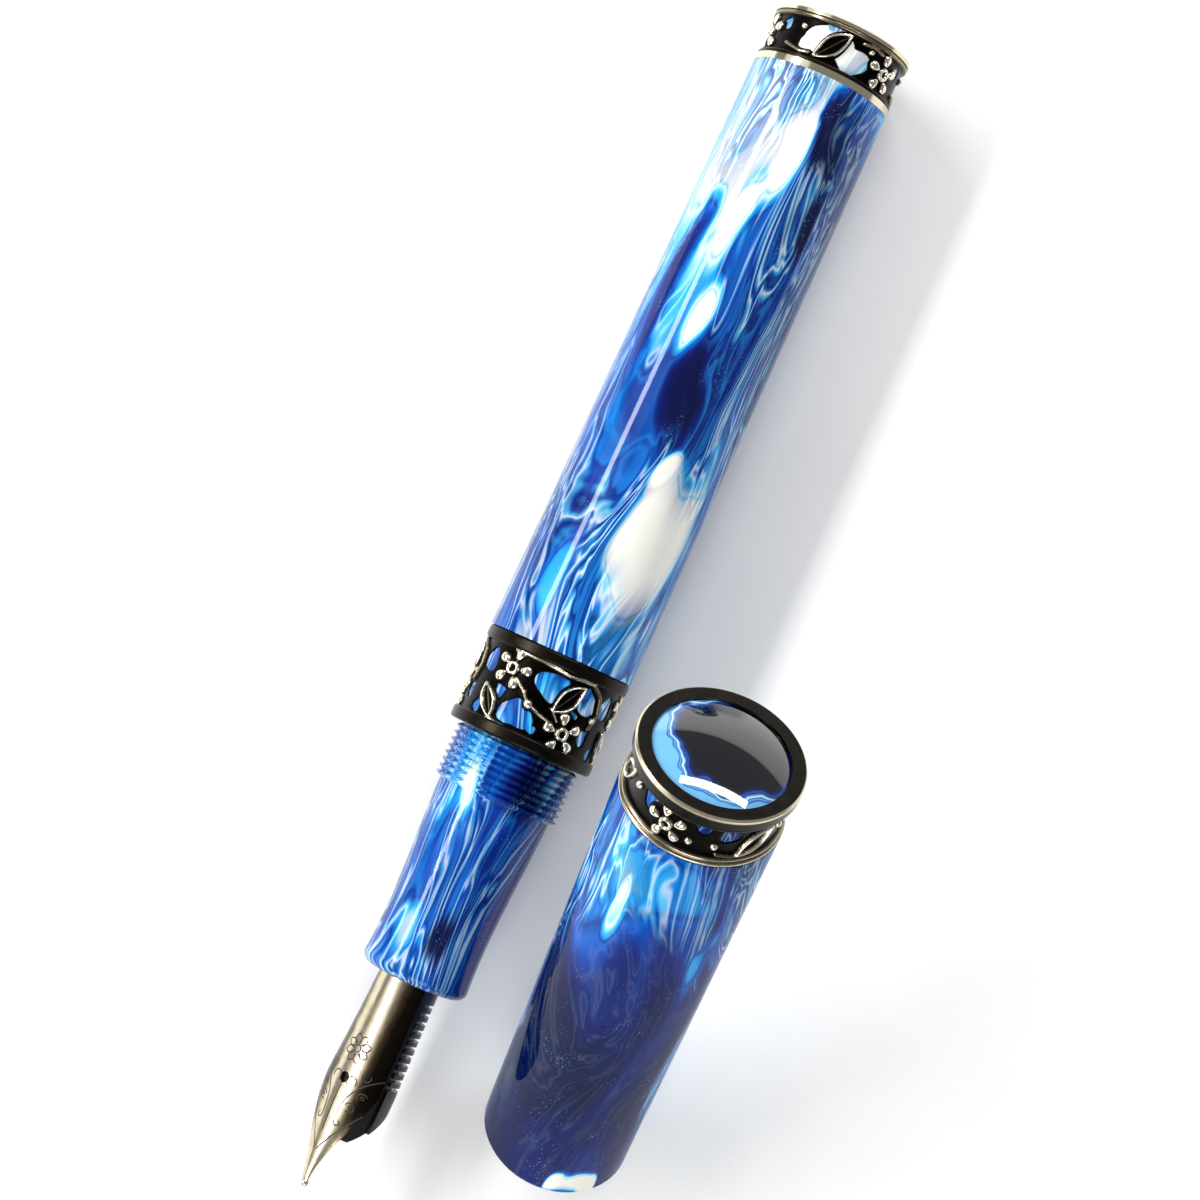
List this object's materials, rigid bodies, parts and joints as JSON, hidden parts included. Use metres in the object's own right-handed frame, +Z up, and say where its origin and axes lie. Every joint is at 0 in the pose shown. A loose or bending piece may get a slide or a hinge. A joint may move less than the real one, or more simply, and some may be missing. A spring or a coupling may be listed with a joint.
{
  "type": "fountain pen",
  "caption": "Fountain pen in marbled blue resin with openwork metal bands, a steel nib, a screw-on cap beside it and a piston converter inside.",
  "frame": {"origin": "on the pen's axis, in the middle of the grip section; the table that the pen lies on is 7.45 mm below", "axes": "+X along the pen from the nib to the tail, +Z up from the table, +Y away from the cap"},
  "size_m": [0.1239, 0.0337, 0.0497],
  "materials": {
    "marbled_resin": "polished",
    "antique_bronze": "antiqued",
    "pale_gold": "polished",
    "gunmetal": "satin",
    "dark_cabochon": "polished",
    "nib_steel": "polished",
    "tipping_alloy": "polished",
    "feed_plastic": "satin",
    "bush_brass": "turned",
    "clear_plastic": "clear",
    "converter_chrome": "polished",
    "black_plastic": "glossy",
    "rubber_black": "matte",
    "white_liner": "matte",
    "stud_steel": "turned"
  },
  "bodies": {
    "barrel": {"barrel": "marbled_resin", "center_band": "antique_bronze", "barrel_bush": "bush_brass", "tail_ring": "pale_gold", "tail_band": "antique_bronze", "tail_bezel": "pale_gold", "tail_cabochon": "dark_cabochon", "tail_stud": "stud_steel"},
    "converter": {"converter_mouth": "black_plastic", "converter_tube": "clear_plastic", "converter_sleeve": "converter_chrome"},
    "section_seal": {"section_seal": "rubber_black"},
    "section": {"section": "marbled_resin", "nib_housing": "black_plastic", "nib": "nib_steel", "nib_tipping": "tipping_alloy", "feed": "feed_plastic"},
    "knob": {"converter_knob": "black_plastic"},
    "piston": {"piston_seal": "rubber_black", "piston_rod": "black_plastic"},
    "inner_cap": {"cap_liner": "white_liner"},
    "cap_seal": {"cap_seal": "rubber_black"},
    "cap": {"cap_shell": "marbled_resin", "cap_band": "antique_bronze", "cap_bezel": "gunmetal", "cap_cabochon": "dark_cabochon", "cap_stud": "stud_steel"}
  },
  "joints": [
    {"name": "section_pull", "type": "slide", "parent": "barrel", "child": "converter", "axis": [-1, 0, 0], "range_m": [0, 0.085]},
    {"name": "section_advance", "type": "slide", "parent": "converter", "child": "section_seal", "axis": [-1, 0, 0], "range_m": [0, 0.0056]},
    {"name": "section_turn", "type": "hinge", "parent": "section_seal", "child": "section", "pos_m": [0, 0, 0], "axis": [-1, 0, 0], "range_deg": [0, 960.5]},
    {"name": "knob_turn", "type": "hinge", "parent": "converter", "child": "knob", "pos_m": [0.055, 0, 0], "axis": [-1, 0, 0], "range_deg": [0, 1080.5]},
    {"name": "piston_slide", "type": "slide", "parent": "converter", "child": "piston", "axis": [-1, 0, 0], "range_m": [0, 0.012]},
    {"name": "cap_flip", "type": "hinge", "parent": "barrel", "child": "inner_cap", "pos_m": [-0.04973, -0.01457, -0.00935], "axis": [-0.2312, -0.7924, 0.5645], "range_deg": [0, 144.04]},
    {"name": "cap_advance", "type": "slide", "parent": "inner_cap", "child": "cap_seal", "axis": [-0.7126, 0, -0.7015], "range_m": [-0.0042, 0]},
    {"name": "cap_turn", "type": "hinge", "parent": "cap_seal", "child": "cap", "pos_m": [0.00135, -0.01865, 0.01732], "axis": [-0.7126, 0, -0.7015], "range_deg": [-720.5, 0]}
  ],
  "couplings": [
    {"joint": "section_turn", "follows": "section_advance", "rad_per_m": 2992},
    {"joint": "cap_turn", "follows": "cap_advance", "rad_per_m": 2992},
    {"joint": "knob_turn", "follows": "piston_slide", "rad_per_m": 1570.8}
  ]
}
